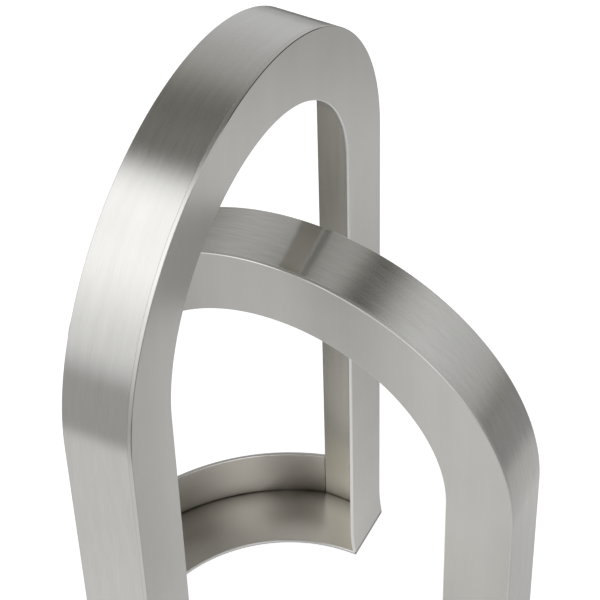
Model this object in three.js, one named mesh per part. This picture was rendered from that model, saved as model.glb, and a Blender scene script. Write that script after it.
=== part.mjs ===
// Two interlocked arches, welded up from flat sheet metal into one endless band.
// The band is an L-section: a face sheet, and a rim strip that stands behind its outer edge.
// It rises as a tall arch, comes down, turns along the floor as a quarter ring, rises again as
// a lower arch that passes through the tall one, and closes along the floor in front.
// Along the rear quarter ring the face sheet lies on the floor, as an open tray. Along the front
// quarter ring it lies on top. Every opening between the sheets is left open.
//
// Millimetres, +Z up. The origin is on the floor, midway between the legs of both arches.
// The tall arch stands along X and the low arch along Y, with their rear legs on the + side.
// Where two sheets meet, a hairline seam is left between them.
import * as THREE from "three";

// Driving sizes of the band
const sheet = 3; // thickness of every sheet
const bandDepth = 50; // from the face to the back edge of the rim
const faceWidth = 51; // from the outside of the arch to its inside
const seam = 0.3; // between two sheets that meet

// Driving sizes of the arches and the base
const archRadius = 180; // outside radius of both arches, and half of the overall width
const tallSpring = 440; // height at which the tall arch starts to curve
const lowSpring = 274; // the same for the low arch
const facePlane = 5; // both faces stand this far behind the centre lines, and the base is centred there

// What follows from them
const archInside = archRadius - faceWidth;
const faceBack = facePlane + sheet;
const backPlane = facePlane + bandDepth; // back edge of the rim strips
const rimDepth = bandDepth - sheet - seam; // of each strip, behind or beside its face sheet
const trayInside = archInside - facePlane; // the tray's inner edge meets the inner corner of each face
const trayOutside = Math.hypot(archRadius - facePlane, bandDepth); // its wall meets the back corner of each rim
const bridgeOutside = archRadius + facePlane; // the front ring runs straight on from the rims
const bridgeInside = bridgeOutside - faceWidth;

// Arcs are cut into short straight runs
const archSegments = 96; // in a half turn
const baseSegments = 48; // in a quarter turn

const faceMetal = new THREE.MeshStandardMaterial({
  name: "satin_face_sheet",
  color: 0xbcbab5,
  roughness: 0.38,
  metalness: 1,
});
const rimMetal = new THREE.MeshStandardMaterial({
  name: "brushed_rim_strip",
  color: 0xb4b2ac,
  roughness: 0.3,
  metalness: 1,
});

// A flat outline pushed straight along +Z into a solid, as a named mesh.
function plate(name, outline, thickness, segments, metal) {
  const geometry = new THREE.ExtrudeGeometry(outline, {
    depth: thickness,
    bevelEnabled: false,
    curveSegments: segments / 2, // three.js cuts an arc into twice this many runs
  });
  const mesh = new THREE.Mesh(geometry, metal);
  mesh.name = name;
  return mesh;
}

// An upside-down U in X and Y: two straight legs and a half-round top, rear leg on the + side.
function archOutline(inside, spring, rearFoot, frontFoot) {
  const outline = new THREE.Shape();
  outline.moveTo(inside, rearFoot);
  outline.lineTo(archRadius, rearFoot);
  outline.absarc(0, spring, archRadius, 0, Math.PI, false);
  outline.lineTo(-archRadius, frontFoot);
  outline.lineTo(-inside, frontFoot);
  outline.absarc(0, spring, inside, Math.PI, 0, true);
  outline.closePath();
  return outline;
}

// One arch in its own frame: X towards the rear leg, Y up, and Z along its depth.
// faceSide is +1 where the face looks along +Z and -1 where it looks along -Z.
function arch(name, spring, faceSide) {
  const face = plate(
    name + "_face",
    archOutline(archInside, spring, sheet + seam, bandDepth + seam),
    sheet,
    archSegments,
    faceMetal,
  );
  const rim = plate(
    name + "_rim",
    archOutline(archRadius - sheet, spring, sheet + seam, 0),
    rimDepth,
    archSegments,
    rimMetal,
  );
  face.position.z = faceSide > 0 ? -faceBack : facePlane;
  rim.position.z = faceSide > 0 ? -backPlane : faceBack + seam;
  const group = new THREE.Group();
  group.add(face, rim);
  return group;
}

// The rear floor sheet: a quarter ring whose ends run square under the two rear legs.
function trayFloorOutline() {
  const cornerAngle = Math.asin(bandDepth / trayOutside);
  const outline = new THREE.Shape();
  outline.moveTo(archInside, facePlane);
  outline.lineTo(archRadius, facePlane);
  outline.absarc(facePlane, facePlane, trayOutside, cornerAngle, Math.PI / 2 - cornerAngle, false);
  outline.lineTo(facePlane, archRadius);
  outline.absarc(facePlane, facePlane, trayInside, Math.PI / 2, 0, true);
  return outline;
}

// The curved wall at the back of the tray, cut square where it meets the rims of the legs.
function trayWallOutline() {
  const inner = trayOutside - sheet;
  const outerCut = Math.asin((bandDepth + seam) / trayOutside);
  const innerCut = Math.asin((bandDepth + seam) / inner);
  const outline = new THREE.Shape();
  outline.absarc(facePlane, facePlane, trayOutside, outerCut, Math.PI / 2 - outerCut, false);
  outline.absarc(facePlane, facePlane, inner, Math.PI / 2 - innerCut, innerCut, true);
  return outline;
}

// A quarter ring in front, from the tall arch round to the low one, with short straight ends
// that run on to the rims. The top sheet and the wall share this form.
function bridgeOutline(inside) {
  const inner = inside - facePlane; // distance of the inner edge from the centre lines
  const outline = new THREE.Shape();
  outline.moveTo(-inner, faceBack);
  outline.lineTo(-archRadius, faceBack);
  outline.absarc(facePlane, facePlane, bridgeOutside, Math.PI, Math.PI * 1.5, false);
  outline.lineTo(faceBack, -archRadius);
  outline.lineTo(faceBack, -inner);
  outline.absarc(facePlane, facePlane, inside, Math.PI * 1.5, Math.PI, true);
  return outline;
}

const tallArch = arch("tall_arch", tallSpring, 1);
tallArch.rotation.x = Math.PI / 2; // its depth runs along -Y and its face looks that way

const lowArch = arch("low_arch", lowSpring, -1);
lowArch.quaternion.setFromRotationMatrix(
  new THREE.Matrix4().makeBasis(
    new THREE.Vector3(0, 1, 0), // its rear leg is towards +Y
    new THREE.Vector3(0, 0, 1),
    new THREE.Vector3(1, 0, 0), // its depth runs along +X and its face looks along -X
  ),
);

const trayFloor = plate("rear_tray_floor", trayFloorOutline(), sheet, baseSegments, faceMetal);
const trayWall = plate("rear_tray_wall", trayWallOutline(), rimDepth, baseSegments, rimMetal);
trayWall.position.z = sheet + seam;

const bridgeTop = plate(
  "front_bridge_top",
  bridgeOutline(bridgeInside),
  sheet,
  baseSegments,
  faceMetal,
);
bridgeTop.position.z = bandDepth - sheet;

const bridgeWall = plate(
  "front_bridge_wall",
  bridgeOutline(bridgeOutside - sheet),
  rimDepth,
  baseSegments,
  rimMetal,
);

const sculpture = new THREE.Group();
sculpture.name = "interlocked_arches";
sculpture.add(tallArch, lowArch, trayFloor, trayWall, bridgeTop, bridgeWall);

export default sculpture;
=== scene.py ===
"""Brushed steel sculpture of two interlocked arches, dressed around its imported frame.

One endless L-section band is welded up from eight sheets. Each sheet is swept here as a fine mesh
with eased arrises, and takes a satin or a brushed finish. Lengths are in metres and angles in
degrees, unless a name says otherwise. A bearing is counted as on a compass seen from above: 0
points along -Y and 90 along +X.
"""
from __future__ import annotations

import logging
import math
from dataclasses import dataclass, replace
from enum import Enum
from typing import Any, Callable, Iterable, Optional, Sequence, Union

import bpy
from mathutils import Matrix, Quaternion, Vector

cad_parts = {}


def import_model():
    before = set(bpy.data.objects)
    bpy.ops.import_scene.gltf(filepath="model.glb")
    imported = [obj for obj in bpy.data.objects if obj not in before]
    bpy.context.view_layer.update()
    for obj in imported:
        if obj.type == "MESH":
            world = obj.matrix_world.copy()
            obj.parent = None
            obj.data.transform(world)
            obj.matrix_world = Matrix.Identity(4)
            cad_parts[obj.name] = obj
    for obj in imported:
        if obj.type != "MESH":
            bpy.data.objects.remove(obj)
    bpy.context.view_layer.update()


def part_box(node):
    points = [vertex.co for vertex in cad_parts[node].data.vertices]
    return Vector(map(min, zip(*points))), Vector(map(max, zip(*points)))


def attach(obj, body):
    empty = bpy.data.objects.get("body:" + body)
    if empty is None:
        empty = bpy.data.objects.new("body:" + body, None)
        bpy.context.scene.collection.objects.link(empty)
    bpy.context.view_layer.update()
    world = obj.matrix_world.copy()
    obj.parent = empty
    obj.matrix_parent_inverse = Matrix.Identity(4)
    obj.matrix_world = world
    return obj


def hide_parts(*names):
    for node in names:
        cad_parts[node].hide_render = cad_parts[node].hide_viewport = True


LOG = logging.getLogger("sculpture")
MM = 0.001
SHARP = 0.02 * MM
NEARLY_ZERO = 1e-6
GRAIN_MAP = "grain"
ARRIS_LAYER = "arris"
INSIDE_LAYER = "inside"

Colour = tuple[float, float, float]
Input = Union[float, Sequence[float], "Value", bpy.types.NodeSocket]


class Value:
    """A quantity that varies over a surface. Python's operators on it add Math nodes."""

    def __init__(self, graph: "Graph", socket: bpy.types.NodeSocket) -> None:
        """Wraps an output socket.

        Args:
            graph: The graph that the socket belongs to.
            socket: The output that carries the quantity.
        """
        self.graph = graph
        self.socket = socket

    def __add__(self, other: Input) -> "Value":
        """Adds two quantities."""
        return self.graph.math("ADD", self, other)

    __radd__ = __add__

    def __sub__(self, other: Input) -> "Value":
        """Takes a quantity away."""
        return self.graph.math("SUBTRACT", self, other)

    def __rsub__(self, other: Input) -> "Value":
        """Takes this quantity away from a number."""
        return self.graph.math("SUBTRACT", other, self)

    def __mul__(self, other: Input) -> "Value":
        """Multiplies two quantities."""
        return self.graph.math("MULTIPLY", self, other)

    __rmul__ = __mul__

    def __neg__(self) -> "Value":
        """Turns the sign round."""
        return self.graph.math("MULTIPLY", self, -1.0)

    def __abs__(self) -> "Value":
        """Drops the sign."""
        return self.graph.math("ABSOLUTE", self)

    def clamped(self) -> "Value":
        """Keeps the quantity between 0 and 1."""
        return self.graph.value("ShaderNodeClamp", {}, self)

    def within(self, reach: float, edge: float) -> "Value":
        """Gives 1 where the quantity is near zero, and falls smoothly to 0 on both sides.

        Args:
            reach: How far from zero the result is one half.
            edge: How far before and after that the fall begins and ends.

        Returns:
            The soft mask.
        """
        ends = (reach - edge, reach + edge, 1.0, 0.0)
        return self.graph.value("ShaderNodeMapRange", {"interpolation_type": "SMOOTHSTEP"}, abs(self), *ends)


class Graph:
    """The nodes of one material or world."""

    def __init__(self, tree: bpy.types.NodeTree) -> None:
        """Empties a node tree to build it anew.

        Args:
            tree: The node tree.
        """
        self.tree = tree
        tree.nodes.clear()

    def node(self, kind: str, settings: dict[str, Any], *inputs: Input, **named: Input) -> bpy.types.Node:
        """Adds a node, sets it up and fills or links its inputs.

        Args:
            kind: The node's type.
            settings: Its properties, set first.
            *inputs: Values or links for its first inputs that are in use, in order.
            **named: Values or links for inputs by name, with _ for a space.

        Returns:
            The new node.
        """
        made = self.tree.nodes.new(kind)
        for name, setting in settings.items():
            setattr(made, name, setting)
        usable = [socket for socket in made.inputs if socket.enabled]
        for socket, given in zip(usable, inputs):
            self._fill(socket, given)
        for name, given in named.items():
            self._fill(made.inputs[name.replace("_", " ")], given)
        return made

    def value(
        self, kind: str, settings: dict[str, Any], *inputs: Input, output: str = "", **named: Input
    ) -> Value:
        """Adds a node and wraps one of its outputs.

        Args:
            kind: The node's type.
            settings: Its properties.
            *inputs: Values or links for its first inputs that are in use.
            output: The output's name, or nothing for the first that is in use.
            **named: Values or links for inputs by name.

        Returns:
            The output.
        """
        made = self.node(kind, settings, *inputs, **named)
        if output:
            return Value(self, made.outputs[output])
        return Value(self, next(socket for socket in made.outputs if socket.enabled))

    def _fill(self, socket: bpy.types.NodeSocket, given: Input) -> None:
        """Links a socket, or sets its value."""
        if isinstance(given, Value):
            self.tree.links.new(given.socket, socket)
        elif isinstance(given, bpy.types.NodeSocket):
            self.tree.links.new(given, socket)
        else:
            socket.default_value = given

    def math(self, operation: str, *inputs: Input) -> Value:
        """Adds one Math node and returns its result."""
        return self.value("ShaderNodeMath", {"operation": operation}, *inputs)

    def split(self, place: Value) -> tuple[Value, ...]:
        """Splits coordinates into their three numbers."""
        return tuple(Value(self, one) for one in self.node("ShaderNodeSeparateXYZ", {}, place).outputs)

    def layer(self, name: str) -> Value:
        """Reads a number that is stored on the mesh."""
        return self.value("ShaderNodeAttribute", {"attribute_name": name}, output="Fac")

    def mix(self, share: Input, first: Union[Colour, Value], second: Union[Colour, Value]) -> Value:
        """Mixes two colours.

        Args:
            share: How much of the second colour shows.
            first: The colour where share is 0.
            second: The colour where share is 1.

        Returns:
            The mixed colour.
        """
        one, two = ((*given, 1.0) if isinstance(given, tuple) else given for given in (first, second))
        return self.value("ShaderNodeMix", {"data_type": "RGBA"}, share, one, two)

    def noise(self, place: Value, scale: float, detail: float = 2.0, roughness: float = 0.5) -> Value:
        """Adds a noise field with values around 0.5.

        Args:
            place: The coordinates.
            scale: Features in one unit of the coordinates.
            detail: Number of finer octaves.
            roughness: How strong the finer octaves are.

        Returns:
            The field.
        """
        return self.value(
            "ShaderNodeTexNoise",
            {"noise_dimensions": "3D"},
            Vector=place,
            Scale=scale,
            Detail=detail,
            Roughness=roughness,
        )

    def finish(self, shader: bpy.types.Node, output: str = "ShaderNodeOutputMaterial") -> None:
        """Links a shader to a new output node."""
        end = self.tree.nodes.new(output)
        self.tree.links.new(shader.outputs[0], end.inputs["Surface"])


def new_material(name: str) -> tuple[bpy.types.Material, Graph]:
    """Makes an empty node material.

    Args:
        name: Its name.

    Returns:
        The material and its graph.
    """
    made = bpy.data.materials.new(name)
    made.use_nodes = True
    return made, Graph(made.node_tree)


class Highlight(Enum):
    """How far the stretched highlight is turned from the shader's own tangent, in turns."""

    ALONG_TANGENT = 0.0
    ACROSS_TANGENT = 0.25


@dataclass(frozen=True)
class Crease:
    """The line along which the tray's walls stand on its floor, and how far painted shade reaches from it.

    The line is a circle round the hub, cut square on the far sides by the legs. The painted shade
    climbs higher towards the end on the +X side.
    """

    hub: tuple[float, float, float]
    radius: float
    side: float
    reach: float = 22 * MM
    upward_reach: float = 5 * MM
    corner_reach: float = 50 * MM
    corner_size: float = 0.6
    corner_edge: float = 0.15
    least: float = 0.2
    mottled: float = 1.1

    def painted_shade(self, graph: Graph, place: Value, mottle: Value) -> Value:
        """Gives the painted shade's density, from the most in the crease to 0 where it ends.

        Args:
            graph: The material's graph.
            place: The coordinates.
            mottle: A noise field that makes it patchy.

        Returns:
            The density.
        """
        offset = graph.value("ShaderNodeVectorMath", {"operation": "SUBTRACT"}, place, self.hub)
        east, north, height = graph.split(offset)
        curved = self.radius - graph.math("SQRT", east * east + north * north)
        straight = self.side - graph.math("MAXIMUM", east, north)
        out = graph.math("MINIMUM", curved, straight)
        corner = ((east - north) * (1 / self.radius) - 1).within(self.corner_size, self.corner_edge)
        climbing = self.upward_reach + (self.corner_reach - self.upward_reach) * corner
        climb = graph.math("DIVIDE", height, climbing)
        away = graph.math("SQRT", out * out * (1 / self.reach**2) + climb * climb)
        left = (1 - away).clamped()
        return left * left * (self.least + self.mottled * mottle)


@dataclass(frozen=True)
class PaintedLight:
    """Painted light on the side that faces the hollow: a second colour, and where it takes over."""

    colour: Colour
    start: tuple[float, float, float]
    run: tuple[float, float, float]

    def share(self, graph: Graph, place: Value) -> Value:
        """Gives how much of the second colour shows, from 0 at the start to 1 at the end of the run."""
        offset = graph.value("ShaderNodeVectorMath", {"operation": "SUBTRACT"}, place, self.start)
        along = graph.value(
            "ShaderNodeVectorMath", {"operation": "DOT_PRODUCT"}, offset, self.run, output="Value"
        )
        return (along * (1 / sum(length**2 for length in self.run))).clamped()


@dataclass(frozen=True)
class SteelFinish:
    """A steel surface that was brushed or sanded in one direction."""

    name: str
    slot: str
    highlight: Highlight = Highlight.ALONG_TANGENT
    light: Colour = (0.65, 0.64, 0.615)
    dark: Colour = (0.53, 0.52, 0.495)
    inside: Colour = (0.50, 0.485, 0.435)
    # painted highlight colour, mixed in where an arris mark is above 0
    painted_highlight: Colour = (0.80, 0.79, 0.77)
    # painted shade colour, mixed in where an arris mark is below 0 and along the tray's crease
    painted_shade: Colour = (0.06, 0.05, 0.035)
    crease: Optional[Crease] = None
    painted_light: Optional[PaintedLight] = None
    roughness: float = 0.21
    anisotropy: float = 0.97
    line_length: float = 18 * MM
    line_width: float = 0.9 * MM
    line_depth: float = 0.03 * MM
    wave_depth: float = 0.05 * MM
    line_contrast: float = 1.3
    wave_contrast: float = 0.3
    wave_lines: tuple[float, float] = (3.0, 6.0)
    mottle_contrast: float = 0.6
    mottle_size: float = 60 * MM
    roughness_spread: float = 0.05

    def material(self) -> bpy.types.Material:
        """Builds the finish as a node material.

        Returns:
            The material.
        """
        made, graph = new_material(self.name)
        lines = graph.noise(self._stretched(graph, 1.0, 1.0), 1.0, detail=1.0, roughness=0.6)
        waves = graph.noise(self._stretched(graph, *self.wave_lines), 1.0, detail=0.0)
        place = graph.value("ShaderNodeTexCoord", {}, output="Object")
        mottle = graph.noise(place, 1 / self.mottle_size, detail=3.0)
        uneven = self.mottle_contrast * (mottle - 0.5)
        arris = graph.layer(ARRIS_LAYER)
        brushed = self.line_contrast * (lines - 0.5) + self.wave_contrast * (waves - 0.5)
        skin = graph.mix((0.5 + brushed + uneven).clamped(), self.dark, self.light)
        inside = self.inside
        # Painted light: the side that faces the hollow fades to a second colour along a run.
        if self.painted_light:
            inside = graph.mix(self.painted_light.share(graph, place), inside, self.painted_light.colour)
        skin = graph.mix(graph.layer(INSIDE_LAYER), skin, inside)
        # Painted highlight where the arris mark is above 0, painted shade where it is below 0 and along the
        # tray's crease.
        skin = graph.mix(arris.clamped(), skin, self.painted_highlight)
        painted_shade = (-arris).clamped()
        if self.crease:
            painted_shade = graph.math("MAXIMUM", painted_shade, self.crease.painted_shade(graph, place, mottle))
        bump = graph.node(
            "ShaderNodeBump",
            {},
            Strength=1.0,
            Distance=1.0,
            Height=self.line_depth * lines + self.wave_depth * waves,
        )
        shader = graph.node(
            "ShaderNodeBsdfPrincipled",
            {},
            Base_Color=graph.mix(painted_shade, skin, self.painted_shade),
            Metallic=1.0,
            Roughness=self.roughness + self.roughness_spread * (lines + mottle - 1.0),
            Anisotropic=self.anisotropy,
            Anisotropic_Rotation=self.highlight.value,
            Normal=bump.outputs["Normal"],
        )
        graph.finish(shader)
        return made

    def _stretched(self, graph: Graph, longer: float, wider: float) -> Value:
        """Gives the grain's coordinates, counted in brushed lines along and across.

        Args:
            graph: The material's graph.
            longer: How many times a line's own length one unit is.
            wider: How many times a line's own width one unit is.

        Returns:
            The coordinates.
        """
        grain = graph.value("ShaderNodeUVMap", {"uv_map": GRAIN_MAP})
        scale = (1 / (self.line_length * longer), 1 / (self.line_width * wider), 1.0)
        return graph.value("ShaderNodeVectorMath", {"operation": "MULTIPLY"}, grain, scale)


BRUSHED_RIM = SteelFinish("brushed_rim_steel", "brushed_rim")
BRUSHED_WALL = replace(BRUSHED_RIM, name="brushed_wall_steel", highlight=Highlight.ACROSS_TANGENT)
SMOOTH_RIM = replace(BRUSHED_RIM, name="smooth_rim_steel", line_contrast=0.6, line_depth=0.012 * MM)
SATIN_FACE = SteelFinish(
    "satin_face_steel",
    "satin_face",
    roughness=0.3,
    anisotropy=0.4,
    line_length=90 * MM,
    line_width=2.5 * MM,
    line_depth=0.0,
    wave_depth=0.03 * MM,
    line_contrast=0.18,
)


@dataclass(frozen=True)
class Arris:
    """How an edge of a sheet is worked: its radius, and a mark from -1, painted shade, to 1, painted
    highlight.
    """

    radius: float
    mark: float


# EASED edges get a painted highlight, CREVICE edges painted shade, WELDED edges neither.
EASED = Arris(0.9 * MM, 1.0)
WELDED = Arris(0.12 * MM, 0.0)
CREVICE = Arris(0.9 * MM, -0.85)


@dataclass(frozen=True)
class Stretch:
    """A stretch of an arch's front arris, by its angles on the arc, with what is added to its mark."""

    first: float
    last: float
    mark: float

    def at(self, turn: float, fade: float = 4.0) -> float:
        """Gives the added mark at an angle, which fades in and out over a few degrees."""
        inward = min(turn - self.first, self.last - turn)
        return self.mark * min(max(inward / fade, 0.0), 1.0)


@dataclass(frozen=True)
class Station:
    """A cross-section of a sheet: its near edge from inside to outside, and the way to its far edge.

    Its own mark goes over those of the arrises, and its line is added along the outer near arris.
    """

    inner: Vector
    outer: Vector
    through: Vector
    along: float
    inset: float = 0.0
    mark: float = 0.0
    line: float = 0.0

    def moved(self, shift: Vector) -> "Station":
        """Gives the same cross-section elsewhere."""
        return replace(self, inner=self.inner + shift, outer=self.outer + shift)

    def towards(self, other: "Station", share: float, inset: float, mark: float) -> "Station":
        """Gives a drawn-in cross-section on the way to another one.

        Args:
            other: The other cross-section.
            share: How much of the way.
            inset: How far its outline is drawn in.
            mark: The mark of its edge.

        Returns:
            The cross-section.
        """
        return Station(
            self.inner.lerp(other.inner, share),
            self.outer.lerp(other.outer, share),
            self.through.lerp(other.through, share),
            self.along + (other.along - self.along) * share,
            inset,
            mark,
            self.line,
        )


def finish_ends(stations: list[Station], first: Arris, last: Arris, steps: int = 3) -> list[Station]:
    """Rounds both ends of a sweep, by stations whose section is drawn in.

    Args:
        stations: The stations of the sweep.
        first: How its first end is worked.
        last: How its last end is worked.
        steps: Stations added at each end.

    Returns:
        The stations with their rounded ends.
    """

    def end(start: Station, following: Station, arris: Arris) -> list[Station]:
        """Gives the stations of one end, from the very end inwards."""
        length = ((following.inner - start.inner).length + (following.outer - start.outer).length) / 2
        made = []
        for step in range(steps + 1):
            turn = math.radians(90.0 * step / steps)
            share = arris.radius * (1 - math.cos(turn)) / length
            mark = 0.0 if step == steps else arris.mark
            made.append(start.towards(following, share, arris.radius * (1 - math.sin(turn)), mark))
        return made

    rear = end(stations[-1], stations[-2], last)
    return end(stations[0], stations[1], first) + stations[1:-1] + list(reversed(rear))


class Side(Enum):
    """The four long sides of a sheet's cross-section."""

    NEAR = "near face"
    OUTER = "outer edge"
    FAR = "far face"
    INNER = "inner edge"


@dataclass(frozen=True)
class Tangents:
    """A point and a reach that steer the shader's tangent, which circles the point in plan."""

    centre: tuple[float, float, float]
    reach: tuple[float, float, float] = (1.0, 1.0, 1.0)


FAR_OFF = 1000.0
TANGENT_ALONG_X = Tangents((0.0, -FAR_OFF, 0.0))
TANGENT_ALONG_Y = Tangents((FAR_OFF, 0.0, 0.0))


@dataclass
class Sheet:
    """A sheet swept through its stations.

    One of its sides faces the hollow of the band. Its long arrises are named by edge and face.
    """

    name: str
    stations: list[Station]
    tangents: Tangents
    hollow: Side
    outer_near: Arris = EASED
    outer_far: Arris = EASED
    inner_far: Arris = EASED
    inner_near: Arris = EASED
    grain_axes: Optional[tuple[Vector, Vector]] = None
    steps: int = 4

    def _section(
        self, width: float, depth: float, inset: float, line: float
    ) -> list[tuple[float, float, float, float]]:
        """Lays out the cross-section as a rectangle with round corners.

        Args:
            width: From the inner edge to the outer edge.
            depth: The sheet's thickness.
            inset: How far the outline is drawn in, on the round of an end.
            line: What is added to the mark of the outer near arris.

        Returns:
            For each point its place across the width, its place through the depth, its arris mark
            and a 1 where it bounds the side that faces the hollow.
        """
        corners = (
            (Side.NEAR, Side.OUTER, replace(self.outer_near, mark=self.outer_near.mark + line), -90.0),
            (Side.OUTER, Side.FAR, self.outer_far, 0.0),
            (Side.FAR, Side.INNER, self.inner_far, 90.0),
            (Side.INNER, Side.NEAR, self.inner_near, 180.0),
        )
        cut_edge = Side.INNER if self.hollow is not Side.INNER else None
        points = []
        for before, after, arris, start in corners:
            radius = max(arris.radius - inset, SHARP)
            reach = inset + radius
            across = reach if Side.INNER in (before, after) else width - reach
            deep = depth - reach if Side.FAR in (before, after) else reach
            for step in range(self.steps + 1):
                side = {0: before, self.steps: after}.get(step)
                turn = math.radians(start + 90.0 * step / self.steps)
                place = (across + radius * math.cos(turn), deep + radius * math.sin(turn))
                mark = arris.mark if side is None or side is cut_edge else 0.0
                points.append((*place, mark, 1.0 if side is self.hollow else 0.0))
        return points

    def build(self) -> bpy.types.Object:
        """Sweeps the section through the stations and caps both ends.

        Returns:
            The sheet as a closed mesh object, in the frame's own place.
        """
        verts: list[Vector] = []
        marks: list[float] = []
        inside: list[float] = []
        runs: list[list[float]] = []
        for station in self.stations:
            edge = station.outer - station.inner
            depth = station.through.length
            points = self._section(edge.length, depth, station.inset, station.line)
            for across, deep, mark, bounds_hollow in points:
                place = station.inner + edge * (across / edge.length) + station.through * (deep / depth)
                verts.append(place)
                marks.append(station.mark or mark)
                inside.append(bounds_hollow)
            run = [0.0]
            for one, two in zip(points, points[1:] + points[:1]):
                run.append(run[-1] + math.dist(one[:2], two[:2]))
            runs.append(run)
        faces, grain = self._faces(runs)
        if enclosed_volume(verts, faces) < 0:
            faces = [tuple(reversed(face)) for face in faces]
            grain = [list(reversed(face)) for face in grain]
        mesh = bpy.data.meshes.new(self.name)
        mesh.from_pydata(verts, [], faces)
        self._store_grain(mesh, grain)
        for name, numbers in ((ARRIS_LAYER, marks), (INSIDE_LAYER, inside)):
            mesh.attributes.new(name, "FLOAT", "POINT").data.foreach_set("value", numbers)
        mesh.use_auto_texspace = False
        mesh.texspace_location = self.tangents.centre
        mesh.texspace_size = self.tangents.reach
        mesh.shade_smooth()
        made = bpy.data.objects.new(self.name, mesh)
        bpy.context.scene.collection.objects.link(made)
        made.modifiers.new("even_normals", "WEIGHTED_NORMAL").mode = "FACE_AREA"
        return made

    def _faces(
        self, runs: list[list[float]]
    ) -> tuple[list[tuple[int, ...]], list[list[tuple[float, float]]]]:
        """Joins the swept points into faces.

        Args:
            runs: For each station the way round its section to each point, and back to the first.

        Returns:
            The points of each face, and for each of them its place along and round the sheet.
        """
        ring = len(runs[0]) - 1
        faces: list[tuple[int, ...]] = []
        grain: list[list[tuple[float, float]]] = []
        for row in range(len(runs) - 1):
            for spot in range(ring):
                corners = ((row, spot), (row, spot + 1), (row + 1, spot + 1), (row + 1, spot))
                faces.append(tuple(line * ring + place % ring for line, place in corners))
                grain.append([(self.stations[line].along, runs[line][place]) for line, place in corners])
        for row in (0, len(runs) - 1):
            order = list(range(ring)) if row else list(reversed(range(ring)))
            faces.append(tuple(row * ring + spot for spot in order))
            grain.append([(self.stations[row].along, runs[row][spot]) for spot in order])
        return faces, grain

    def _store_grain(self, mesh: bpy.types.Mesh, grain: list[list[tuple[float, float]]]) -> None:
        """Stores the grain's coordinates: along the sweep, or along two fixed axes if it has them."""
        layer = mesh.uv_layers.new(name=GRAIN_MAP)
        if self.grain_axes is None:
            flat = [number for face in grain for corner in face for number in corner]
        else:
            along, across = self.grain_axes
            places = [mesh.vertices[loop.vertex_index].co for loop in mesh.loops]
            flat = [number for place in places for number in (place.dot(along), place.dot(across))]
        layer.uv.foreach_set("vector", flat)


def enclosed_volume(verts: Sequence[Vector], faces: Iterable[Sequence[int]]) -> float:
    """Gives six times the volume inside the faces, negative if they point inward."""
    total = 0.0
    for face in faces:
        first = verts[face[0]]
        for one, two in zip(face[1:-1], face[2:]):
            total += first.dot(verts[one].cross(verts[two]))
    return total


@dataclass(frozen=True)
class Band:
    """The band's sizes, read from the frame where a node shows them."""

    radius: float
    sheet: float
    depth: float
    plane: float
    tall_spring: float
    low_spring: float
    face_width: float = 51 * MM
    foot_splay: float = 2.2 * MM
    foot_rise: float = 27 * MM

    @classmethod
    def from_frame(cls) -> "Band":
        """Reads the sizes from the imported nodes.

        Returns:
            The band.
        """
        face_low, face_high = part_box("tall_arch_face")
        _, rim_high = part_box("tall_arch_rim")
        _, low_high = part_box("low_arch_rim")
        return cls(
            radius=rim_high.x,
            sheet=face_high.y - face_low.y,
            depth=rim_high.y - face_low.y,
            plane=face_low.y,
            tall_spring=rim_high.z - rim_high.x,
            low_spring=low_high.z - low_high.y,
        )

    @property
    def inside(self) -> float:
        """Radius of the faces' inner edge."""
        return self.radius - self.face_width

    @property
    def hub(self) -> Vector:
        """Centre of both quarter rings of the base, on the floor."""
        return Vector((self.plane, self.plane, 0.0))

    def splay(self, height: float) -> float:
        """Tells how far a rear foot is splayed forward at a height."""
        left = 1.0 - (height - self.sheet) / self.foot_rise
        return self.foot_splay * max(left, 0.0) ** 2


class Part:
    """A sub-assembly: it builds its sheets, dresses them and hands them to the frame."""

    BODY = "root"

    def fit(self, sheet: Sheet, node: str, finish: SteelFinish) -> bpy.types.Object:
        """Builds a sheet in the place of a node of the frame.

        Args:
            sheet: The sheet.
            node: The node that it stands for.
            finish: Its finish.

        Returns:
            The sheet's object.
        """
        made = sheet.build()
        made.data.materials.append(finish.material())
        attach(made, self.BODY)
        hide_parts(node)
        LOG.info("%s: %d faces, %s", made.name, len(made.data.polygons), finish.name)
        return made


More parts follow.
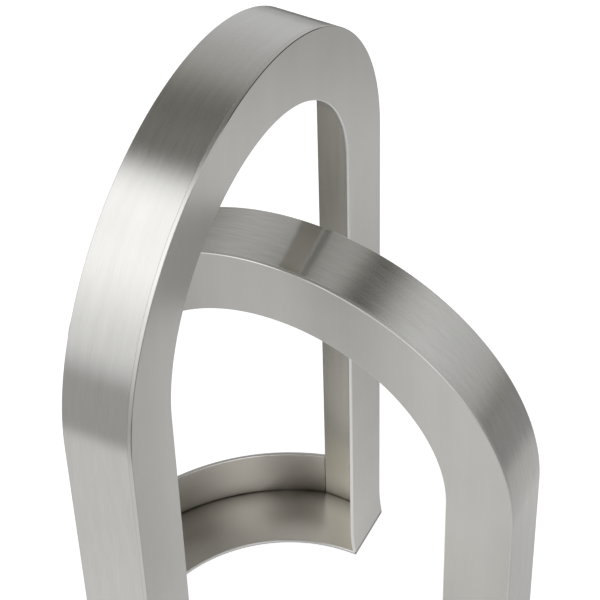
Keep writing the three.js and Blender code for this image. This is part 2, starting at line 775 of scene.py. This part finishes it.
@dataclass
class Arch(Part):
    """One arch: a flat U-shaped face and the rim strip behind its outer edge."""

    band: Band
    name: str
    spring: float
    span: Vector
    deep: Vector
    face_tangents: Tangents
    rim_tangents: Tangents
    seam: Arris = EASED
    back: Arris = EASED
    seam_lines: tuple[Stretch, ...] = ()
    arc_steps: int = 192
    leg_steps: int = 6

    def _leg(self, low: float) -> list[float]:
        """Lists the heights of a leg's stations from the foot up, close together in the foot."""
        rise = self.band.foot_rise
        foot = [low + rise * step / self.leg_steps for step in range(self.leg_steps + 1)]
        rest = self.spring - foot[-1]
        return foot + [foot[-1] + rest * step / self.leg_steps for step in range(1, self.leg_steps)]

    def _stations(self, inside: float, outside: float, rear: float, front: float) -> list[Station]:
        """Lays stations up the rear leg, over the arch and down the front leg.

        Args:
            inside: Distance of the inner edge from the arch's centre line.
            outside: Distance of the outer edge.
            rear: Height of the rear leg's foot.
            front: Height of the front leg's foot.

        Returns:
            The stations, at the front of the faces and as thick as one sheet.
        """
        up = Vector((0.0, 0.0, 1.0))
        near = self.deep * self.band.plane
        thick = self.deep * self.band.sheet
        stations = []
        for height in self._leg(rear):
            foot = near + up * height
            stations.append(Station(foot + self.span * inside, foot + self.span * outside, thick, height))
        centre = near + up * self.spring
        for step in range(self.arc_steps + 1):
            turn = math.pi * step / self.arc_steps
            ray = self.span * math.cos(turn) + up * math.sin(turn)
            run = self.spring + turn * outside
            stations.append(Station(centre + ray * inside, centre + ray * outside, thick, run))
        top_of_leg = self.spring + math.pi * outside
        for height in reversed(self._leg(front)):
            foot = near + up * height
            run = top_of_leg + self.spring - height
            stations.append(Station(foot - self.span * inside, foot - self.span * outside, thick, run))
        return stations

    def _line(self, station: Station) -> float:
        """Tells how much painted shade or painted highlight is added to the front arris at a station."""
        turn = math.degrees(math.atan2(station.outer.z - self.spring, station.outer.dot(self.span)))
        return sum(line.at(turn) for line in self.seam_lines)

    def _splay(self, station: Station) -> float:
        """Tells how far forward a station stands: only the rear leg has a splayed foot."""
        rear = station.outer.dot(self.span) > 0
        return self.band.splay(station.outer.z) if rear else 0.0

    def build(self, face_finish: SteelFinish, rim_finish: SteelFinish) -> None:
        """Builds the face and the rim.

        Args:
            face_finish: Finish of the face.
            rim_finish: Finish of the rim.
        """
        band = self.band
        face = [
            replace(one.moved(-self.deep * self._splay(one)), line=self._line(one))
            for one in self._stations(band.inside, band.radius, band.sheet, band.depth)
        ]
        self.fit(
            Sheet(
                self.name + "_arch_face_sheet",
                finish_ends(face, CREVICE, WELDED),
                self.face_tangents,
                Side.FAR,
                outer_near=self.seam,
                outer_far=WELDED,
                grain_axes=(Vector((0.0, 0.0, 1.0)), self.span + self.deep),
            ),
            self.name + "_arch_face",
            face_finish,
        )
        rim = [
            replace(
                one.moved(self.deep * (band.sheet - self._splay(one))),
                through=self.deep * (band.depth - band.sheet + self._splay(one)),
            )
            for one in self._stations(band.radius - band.sheet, band.radius, band.sheet, 0.0)
        ]
        self.fit(
            Sheet(
                self.name + "_arch_rim_strip",
                finish_ends(rim, CREVICE, WELDED),
                self.rim_tangents,
                Side.INNER,
                outer_near=WELDED,
                outer_far=self.back,
                inner_near=WELDED,
            ),
            self.name + "_arch_rim",
            rim_finish,
        )


@dataclass
class Base(Part):
    """The two quarter rings on the floor: an open tray in the rear, a covered bridge in front."""

    band: Band
    steps: int = 96
    # The lip gets a painted highlight, the underside edge painted shade.
    lip: Arris = Arris(1.3 * MM, 0.6)
    underside: Arris = Arris(0.9 * MM, -0.7)
    wall_steel: Colour = (0.70, 0.675, 0.635)
    floor_steel: Colour = (0.42, 0.40, 0.365)
    # near-white tone that the tray floor's top fades to: painted light
    floor_painted_light: Colour = (0.98, 0.935, 0.865)
    painted_light_start: float = 27 * MM

    def _ring(
        self,
        angles: tuple[float, float],
        inner: Callable[[float], float],
        outer: Callable[[float], float],
        low: float,
        high: float,
    ) -> list[Station]:
        """Lays stations round the hub.

        Args:
            angles: Angles of the first and the last station, in degrees from +X.
            inner: Gives the inner edge's distance from the hub at an angle in radians.
            outer: Gives the outer edge's distance.
            low: Height of the sheet's underside.
            high: Height of its top.

        Returns:
            The stations.
        """
        base = self.band.hub + Vector((0.0, 0.0, low))
        thick = Vector((0.0, 0.0, high - low))
        start, end = angles
        stations = []
        for step in range(self.steps + 1):
            turn = math.radians(start + (end - start) * step / self.steps)
            ray = Vector((math.cos(turn), math.sin(turn), 0.0))
            run = turn * self.band.radius
            stations.append(Station(base + ray * inner(turn), base + ray * outer(turn), thick, run))
        return stations

    @staticmethod
    def _led_on(ring: list[Station], before: Vector, after: Vector) -> list[Station]:
        """Runs a ring straight on at both ends.

        Args:
            ring: The stations.
            before: How far in front of the first station it starts.
            after: How far beyond the last one it ends.

        Returns:
            The longer run.
        """
        start = replace(ring[0].moved(before), along=ring[0].along - before.length)
        end = replace(ring[-1].moved(after), along=ring[-1].along + after.length)
        return [start, *ring, end]

    def build_tray(self, face_finish: SteelFinish, wall_finish: SteelFinish) -> None:
        """Builds the rear tray's floor and its curved wall.

        Args:
            face_finish: Finish of the floor.
            wall_finish: Finish of the wall.
        """
        band = self.band
        side = band.radius - band.plane
        rim = math.hypot(side, band.depth)
        # Painted shade along the crease where the tray's walls meet its floor, climbing higher by the +X
        # leg.
        crease = Crease((*band.hub.xy, band.sheet), rim - band.sheet, side - band.sheet)
        reach = band.radius / 2
        # Painted light: the tray floor's top goes from its dark tone near the low arch's rear leg to near
        # white towards the tall arch's rear leg.
        painted_light = PaintedLight(self.floor_painted_light, (0.0, self.painted_light_start, 0.0), (reach, -reach, 0.0))
        face_finish = replace(
            face_finish, name="satin_tray_steel", inside=self.floor_steel, painted_light=painted_light, crease=crease
        )
        wall_finish = replace(wall_finish, name="brushed_tray_steel", inside=self.wall_steel, crease=crease)

        def edge(turn: float) -> float:
            """Gives the floor's outer edge: square beside the legs, round between them."""
            cosine, sine = max(math.cos(turn), NEARLY_ZERO), max(math.sin(turn), NEARLY_ZERO)
            return min(rim, side / cosine, side / sine)

        floor = self._ring((0.0, 90.0), lambda turn: band.inside - band.plane, edge, 0.0, band.sheet)
        lead = band.foot_splay
        floor = self._led_on(floor, Vector((0.0, -lead, 0.0)), Vector((-lead, 0.0, 0.0)))
        self.fit(
            Sheet(
                "rear_tray_floor_sheet",
                finish_ends(floor, self.underside, self.underside),
                TANGENT_ALONG_X,
                Side.FAR,
                inner_far=self.lip,
                inner_near=self.underside,
                grain_axes=(Vector((0.0, 1.0, 0.0)), Vector((1.0, 0.0, 1.0))),
            ),
            "rear_tray_floor",
            face_finish,
        )
        cut = math.degrees(math.asin(band.depth / rim))
        angles = (cut, 90.0 - cut)
        wall = self._ring(angles, lambda turn: rim - band.sheet, lambda turn: rim, band.sheet, band.depth)
        self.fit(
            Sheet(
                "rear_tray_wall_strip",
                finish_ends(self._squared(wall, rim - band.sheet), WELDED, WELDED),
                Tangents(tuple(band.hub)),
                Side.INNER,
                outer_near=WELDED,
                inner_near=CREVICE,
            ),
            "rear_tray_wall",
            wall_finish,
        )

    def _squared(self, wall: list[Station], inner: float) -> list[Station]:
        """Slides the wall's inner points round the hub, so that it ends square on the legs' rims.

        Args:
            wall: The wall's stations.
            inner: Radius of the wall's inner side.

        Returns:
            The stations with their inner points moved.
        """
        cut = math.asin(self.band.depth / inner)
        squared = []
        for step, one in enumerate(wall):
            turn = cut + (math.pi / 2 - 2 * cut) * step / (len(wall) - 1)
            place = self.band.hub + Vector((math.cos(turn), math.sin(turn), 0.0)) * inner
            squared.append(replace(one, inner=Vector((place.x, place.y, one.inner.z))))
        return squared

    def build_bridge(self, face_finish: SteelFinish, wall_finish: SteelFinish) -> None:
        """Builds the front bridge's top sheet and its curved wall.

        Args:
            face_finish: Finish of the top.
            wall_finish: Finish of the wall.
        """
        band = self.band
        outer = band.radius + band.plane
        top = self._front(outer - band.face_width, outer, band.depth - band.sheet, band.depth)
        self.fit(
            Sheet(
                "front_bridge_top_sheet",
                finish_ends(top, WELDED, WELDED),
                TANGENT_ALONG_X,
                Side.NEAR,
                outer_near=WELDED,
                grain_axes=(Vector((0.0, 1.0, 0.0)), Vector((1.0, 0.0, 1.0))),
            ),
            "front_bridge_top",
            face_finish,
        )
        wall = self._front(outer - band.sheet, outer, 0.0, band.depth - band.sheet)
        self.fit(
            Sheet(
                "front_bridge_wall_strip",
                finish_ends(wall, WELDED, WELDED),
                Tangents(tuple(band.hub)),
                Side.INNER,
                outer_far=WELDED,
                inner_far=WELDED,
            ),
            "front_bridge_wall",
            wall_finish,
        )

    def _front(self, inside: float, outside: float, low: float, high: float) -> list[Station]:
        """Lays the front ring's stations, which run straight on under the faces."""
        ring = self._ring((180.0, 270.0), lambda turn: inside, lambda turn: outside, low, high)
        lead = self.band.sheet
        return self._led_on(ring, Vector((0.0, lead, 0.0)), Vector((lead, 0.0, 0.0)))


@dataclass(frozen=True)
class Camera:
    """The camera, at the photograph's viewing angle."""

    place: tuple[float, float, float] = (-0.9677, -0.5384, 1.567)
    azimuth: float = -61.87
    elevation: float = 45.82
    roll: float = -1.89
    lens_mm: float = 141.3
    sensor_mm: float = 36.0

    def build(self) -> None:
        """Makes the camera and sets it as the scene's own."""
        data = bpy.data.cameras.new("camera")
        data.lens = self.lens_mm
        data.sensor_width = self.sensor_mm
        data.clip_end = 100.0
        made = bpy.data.objects.new("camera", data)
        bpy.context.scene.collection.objects.link(made)
        level = math.cos(math.radians(self.elevation))
        turn = math.radians(self.azimuth)
        rise = math.sin(math.radians(self.elevation))
        back = Vector((math.sin(turn) * level, -math.cos(turn) * level, rise))
        made.location = self.place
        made.rotation_mode = "QUATERNION"
        tilt = Quaternion((0.0, 0.0, 1.0), math.radians(self.roll))
        made.rotation_quaternion = (-back).to_track_quat("-Z", "Y") @ tilt
        bpy.context.scene.camera = made


class Compass:
    """Directions and distances from the middle of the floor, for the studio's materials."""

    def __init__(self, graph: Graph) -> None:
        """Reads where the shaded point is.

        Args:
            graph: The material's graph.
        """
        self.graph = graph
        place = graph.value("ShaderNodeTexCoord", {}, output="Object")
        away = graph.value("ShaderNodeVectorMath", {"operation": "NORMALIZE"}, place)
        self.east, self.north, up = graph.split(away)
        self.elevation = graph.math("ARCSINE", up) * math.degrees(1.0)
        self.distance = graph.value("ShaderNodeVectorMath", {"operation": "LENGTH"}, place, output="Value")

    def aside(self, bearing: float) -> Value:
        """Gives how many degrees the shaded point lies to the side of a bearing.

        Args:
            bearing: The bearing.

        Returns:
            The angle, from -180 to 180.
        """
        sine, cosine = math.sin(math.radians(bearing)), math.cos(math.radians(bearing))
        ahead = self.east * sine - self.north * cosine
        beside = self.east * cosine + self.north * sine
        return self.graph.math("ARCTAN2", beside, ahead) * math.degrees(1.0)


@dataclass(frozen=True)
class Panel:
    """A soft-edged panel on the dome, by bearing and elevation, all in degrees."""

    bearing: float
    elevation: float
    half_width: float
    half_height: float
    side_edge: float
    top_edge: float
    strength: float

    def cover(self, compass: Compass) -> Value:
        """Gives the panel's strength where it hangs, and 0 elsewhere."""
        wide = compass.aside(self.bearing).within(self.half_width, self.side_edge)
        high = (compass.elevation - self.elevation).within(self.half_height, self.top_edge)
        return wide * high * self.strength


@dataclass(frozen=True)
class Shade:
    """A darker stretch of the table, by bearing in degrees and distance in metres."""

    bearing: float
    distance: float
    half_width: float
    half_reach: float
    side_edge: float
    reach_edge: float
    strength: float

    def cover(self, compass: Compass) -> Value:
        """Gives the shade's strength where it lies, and 0 elsewhere."""
        wide = compass.aside(self.bearing).within(self.half_width, self.side_edge)
        deep = (compass.distance - self.distance).within(self.half_reach, self.reach_edge)
        return wide * deep * self.strength


@dataclass(frozen=True)
class Studio:
    """The pale floor, and the soft panels and the table that the steel mirrors."""

    KEY = Panel(-125, 54, 37, 22, 7, 16, 1.3)
    KEY_FOOT = Panel(-117, 16, 37, 15, 8, 15, 0.8)
    FRONT_FILL = Panel(-48, 44, 17, 34, 15, 16, 0.95)
    RIGHT_FILL = Panel(19, 30, 45, 24, 11, 7, 0.35)
    REAR_STRIP = Panel(115, 5, 20, 28, 7, 24, 0.5)
    CAMERA_GAP = Panel(-66, 66, 14, 26, 6, 12, 1.0)
    CEILING_GAP = Panel(152, 69, 54, 10, 12, 9, 0.72)
    SIDE_GAP = Panel(69, 53, 8, 27, 4, 13, 0.9)
    REAR_WALL = Panel(195, 30, 27, 19, 12, 9, 0.6)
    SCULPTURE_SHADOW = Shade(121, 0.4, 59, 0.2, 8, 0.3, 0.45)
    REAR_SHADE = Shade(160, 0.8, 68, 0.6, 6, 0.1, 0.65)
    FRONT_SHADE = Shade(-8, 1.5, 52, 1.4, 10, 0.5, 0.35)

    dome_radius: float = 2.5
    horizon_glow: float = 0.2
    sky_glow: float = 0.47
    sky_height: float = 48.0
    table_glow: float = 0.86
    far_glow: float = 0.5
    table_radius: float = 0.72
    table_edge: float = 0.1
    floor_radius: float = 30.0
    floor_glow: float = 0.85
    floor_albedo: float = 0.5
    dim_tint: Colour = (1.05, 1.0, 0.85)
    lit_tint: Colour = (0.99, 1.0, 1.015)
    lit_glow: float = 0.65

    def build(self) -> None:
        """Sets up the dome, the mirrored table, the floor and the world."""
        self._dome()
        self._table()
        self._floor()
        world = bpy.data.worlds.new("studio")
        bpy.context.scene.world = world
        world.use_nodes = True
        graph = Graph(world.node_tree)
        backdrop = graph.node("ShaderNodeBackground", {}, (1.0, 1.0, 1.0, 1.0), 1.0)
        graph.finish(backdrop, "ShaderNodeOutputWorld")
        bpy.context.scene.view_settings.view_transform = "Standard"

    def _dome(self) -> None:
        """Hangs the dome of light, which the camera looks through."""
        bpy.ops.mesh.primitive_uv_sphere_add(segments=96, ring_count=64, radius=self.dome_radius)
        dome = bpy.context.object
        dome.name = "light_dome"
        made, graph = new_material("dome_light")
        compass = Compass(graph)
        half = self.sky_height / 2
        above = (compass.elevation - 90.0).within(90.0 - half, half)
        glow = self.horizon_glow + (self.sky_glow - self.horizon_glow) * above
        for lamp in (self.KEY, self.KEY_FOOT, self.FRONT_FILL, self.RIGHT_FILL, self.REAR_STRIP):
            glow = glow + lamp.cover(compass)
        for flag in (self.CAMERA_GAP, self.CEILING_GAP, self.SIDE_GAP, self.REAR_WALL):
            glow = glow * (1 - flag.cover(compass))
        tint = graph.mix((glow * (1 / self.lit_glow)).clamped(), self.dim_tint, self.lit_tint)
        graph.finish(graph.node("ShaderNodeEmission", {}, Color=tint, Strength=glow))
        dome.data.materials.append(made)
        dome.visible_camera = False

    def _table(self) -> None:
        """Lays the table that the steel mirrors: bright near the sculpture, darker further off."""
        table = self._disc("mirrored_table", self.dome_radius, -1.0 * MM)
        made, graph = new_material("table_light")
        compass = Compass(graph)
        near = compass.distance.within(self.table_radius, self.table_edge)
        glow = self.far_glow + (self.table_glow - self.far_glow) * near
        for shade in (self.SCULPTURE_SHADOW, self.REAR_SHADE, self.FRONT_SHADE):
            glow = glow * (1 - shade.cover(compass))
        graph.finish(graph.node("ShaderNodeEmission", {}, Strength=glow))
        table.data.materials.append(made)
        table.visible_camera = False

    def _floor(self) -> None:
        """Lays the pale floor that the camera sees."""
        floor = self._disc("floor", self.floor_radius, -0.2 * MM)
        made, graph = new_material("pale_floor")
        glow = graph.node("ShaderNodeEmission", {}, Strength=self.floor_glow)
        matt = graph.node("ShaderNodeBsdfDiffuse", {}, (*[self.floor_albedo] * 3, 1.0))
        graph.finish(graph.node("ShaderNodeAddShader", {}, glow.outputs[0], matt.outputs[0]))
        floor.data.materials.append(made)
        floor.visible_glossy = False
        floor.visible_diffuse = False
        floor.visible_shadow = False

    @staticmethod
    def _disc(name: str, radius: float, height: float) -> bpy.types.Object:
        """Lays a flat round sheet as a part of the stage.

        Args:
            name: Its name.
            radius: Its radius.
            height: Its height.

        Returns:
            The object.
        """
        place = (0.0, 0.0, height)
        bpy.ops.mesh.primitive_circle_add(vertices=128, radius=radius, fill_type="NGON", location=place)
        made = bpy.context.object
        made.name = name
        return made


def main() -> None:
    """Builds the sculpture, its studio and its camera."""
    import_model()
    Camera().build()
    band = Band.from_frame()
    along_x, along_y = Vector((1.0, 0.0, 0.0)), Vector((0.0, 1.0, 0.0))
    tall = Arch(
        band,
        "tall",
        band.tall_spring,
        along_x,
        along_y,
        TANGENT_ALONG_X,
        TANGENT_ALONG_Y,
        # The front arris gets painted shade, with stretches of stronger painted shade and one of painted
        # highlight; the back arris gets a painted highlight.
        seam=Arris(0.6 * MM, -0.15),
        back=Arris(0.4 * MM, 0.5),
        seam_lines=(Stretch(58, 105, -0.75), Stretch(105, 120, 0.9), Stretch(164, 178, -0.5)),
    )
    low = Arch(band, "low", band.low_spring, along_y, along_x, TANGENT_ALONG_Y, TANGENT_ALONG_X)
    tall.build(SATIN_FACE, SMOOTH_RIM)
    low.build(SATIN_FACE, BRUSHED_RIM)
    base = Base(band)
    base.build_tray(SATIN_FACE, BRUSHED_WALL)
    base.build_bridge(SATIN_FACE, BRUSHED_WALL)
    Studio().build()


if __name__ == "__main__":
    logging.basicConfig(level=logging.INFO, format="%(name)s: %(message)s")
    main()
